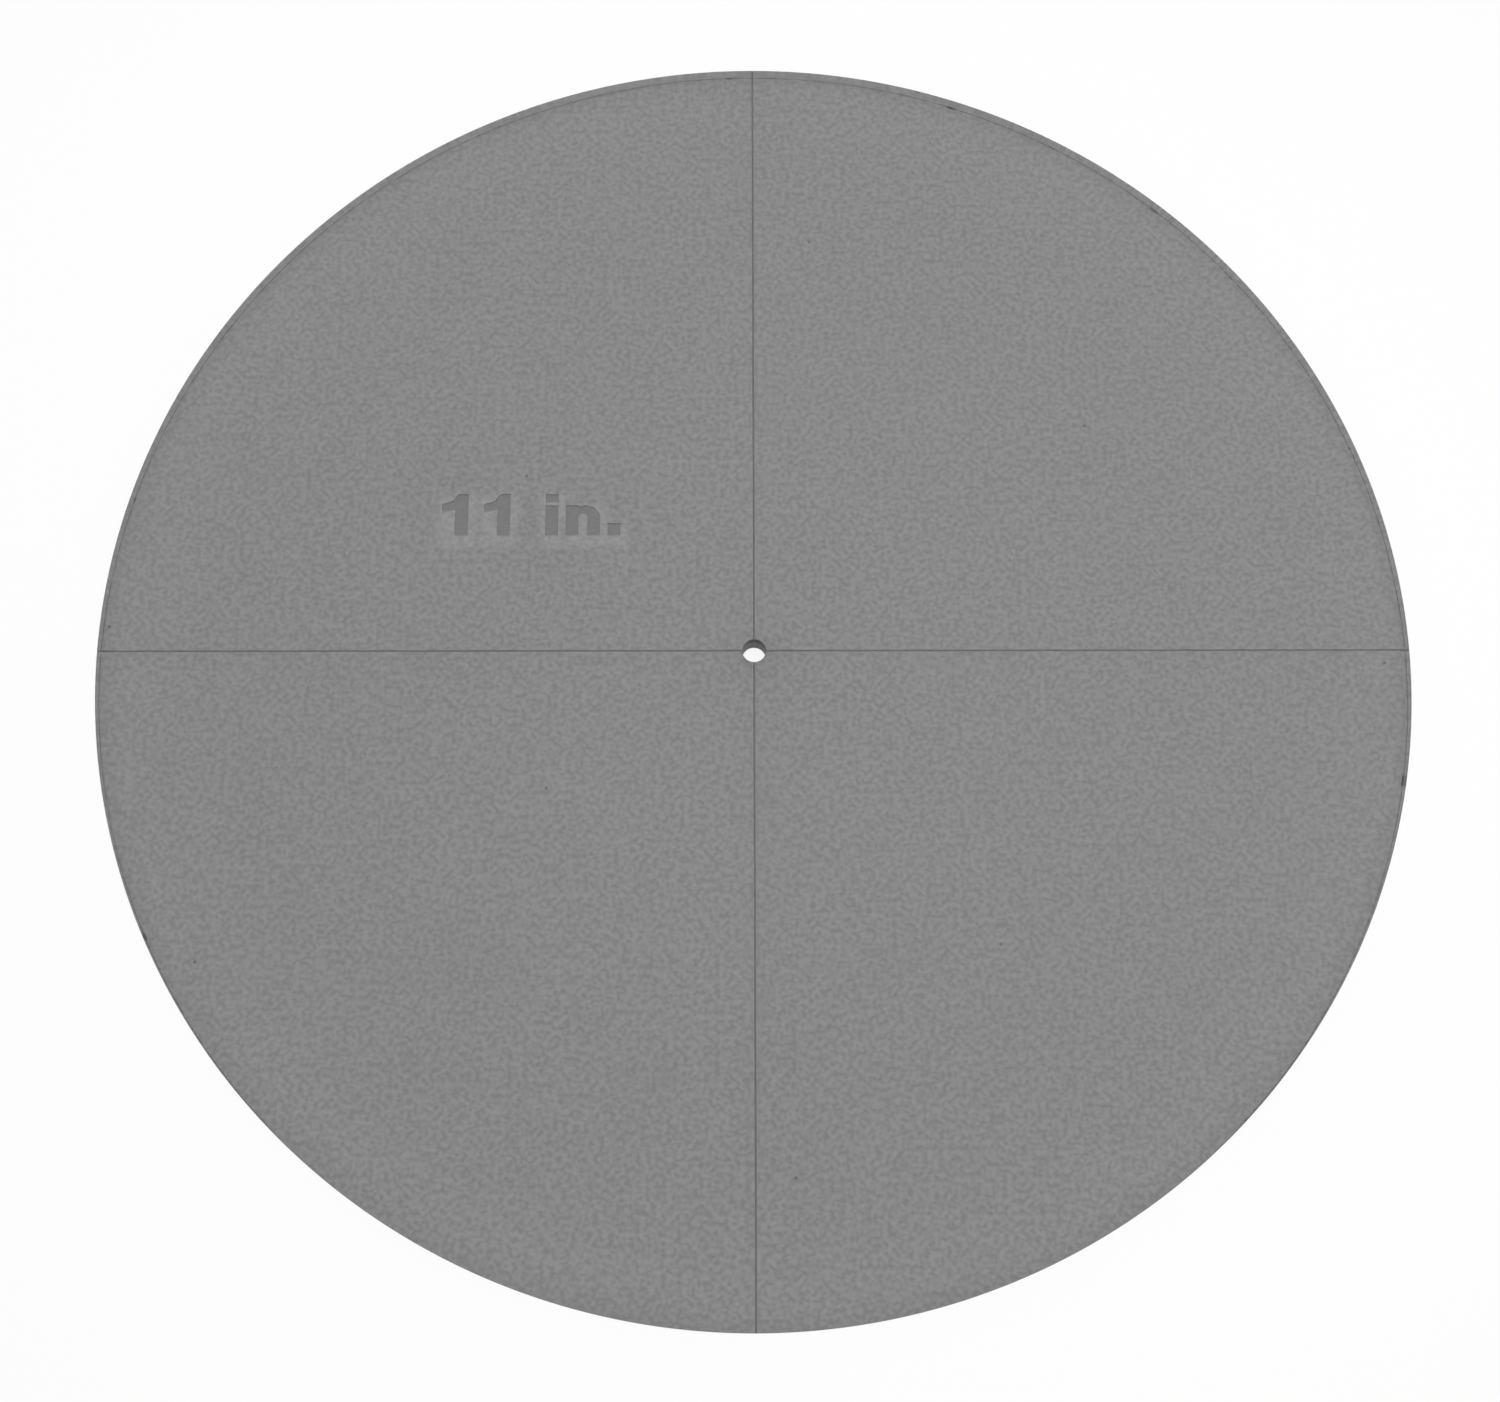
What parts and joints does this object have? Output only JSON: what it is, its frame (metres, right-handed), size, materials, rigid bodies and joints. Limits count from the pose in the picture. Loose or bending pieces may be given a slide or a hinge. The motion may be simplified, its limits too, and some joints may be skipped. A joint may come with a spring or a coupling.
{
  "type": "circle template",
  "caption": "Flat round template of clear sheet with a centre pivot hole, engraved centre lines and its size, film still on the back.",
  "frame": {"origin": "centre of the back, where the film rests on the work", "axes": "+Z along the centre hole's axis, out of the engraved face; +Y towards the top of the lettering, along the upright centre line; +X to its right, along the level centre line"},
  "size_m": [0.2794, 0.2794, 0.0061],
  "materials": {
    "clear_sheet": "clear cast acrylic with polished faces; laser-cut edges and engraving are smoky and matt",
    "masking_film": "even mid-grey film with a fine matt grain"
  },
  "bodies": {
    "root": {"template_plate": "clear_sheet", "masking_film": "masking_film"}
  },
  "joints": []
}
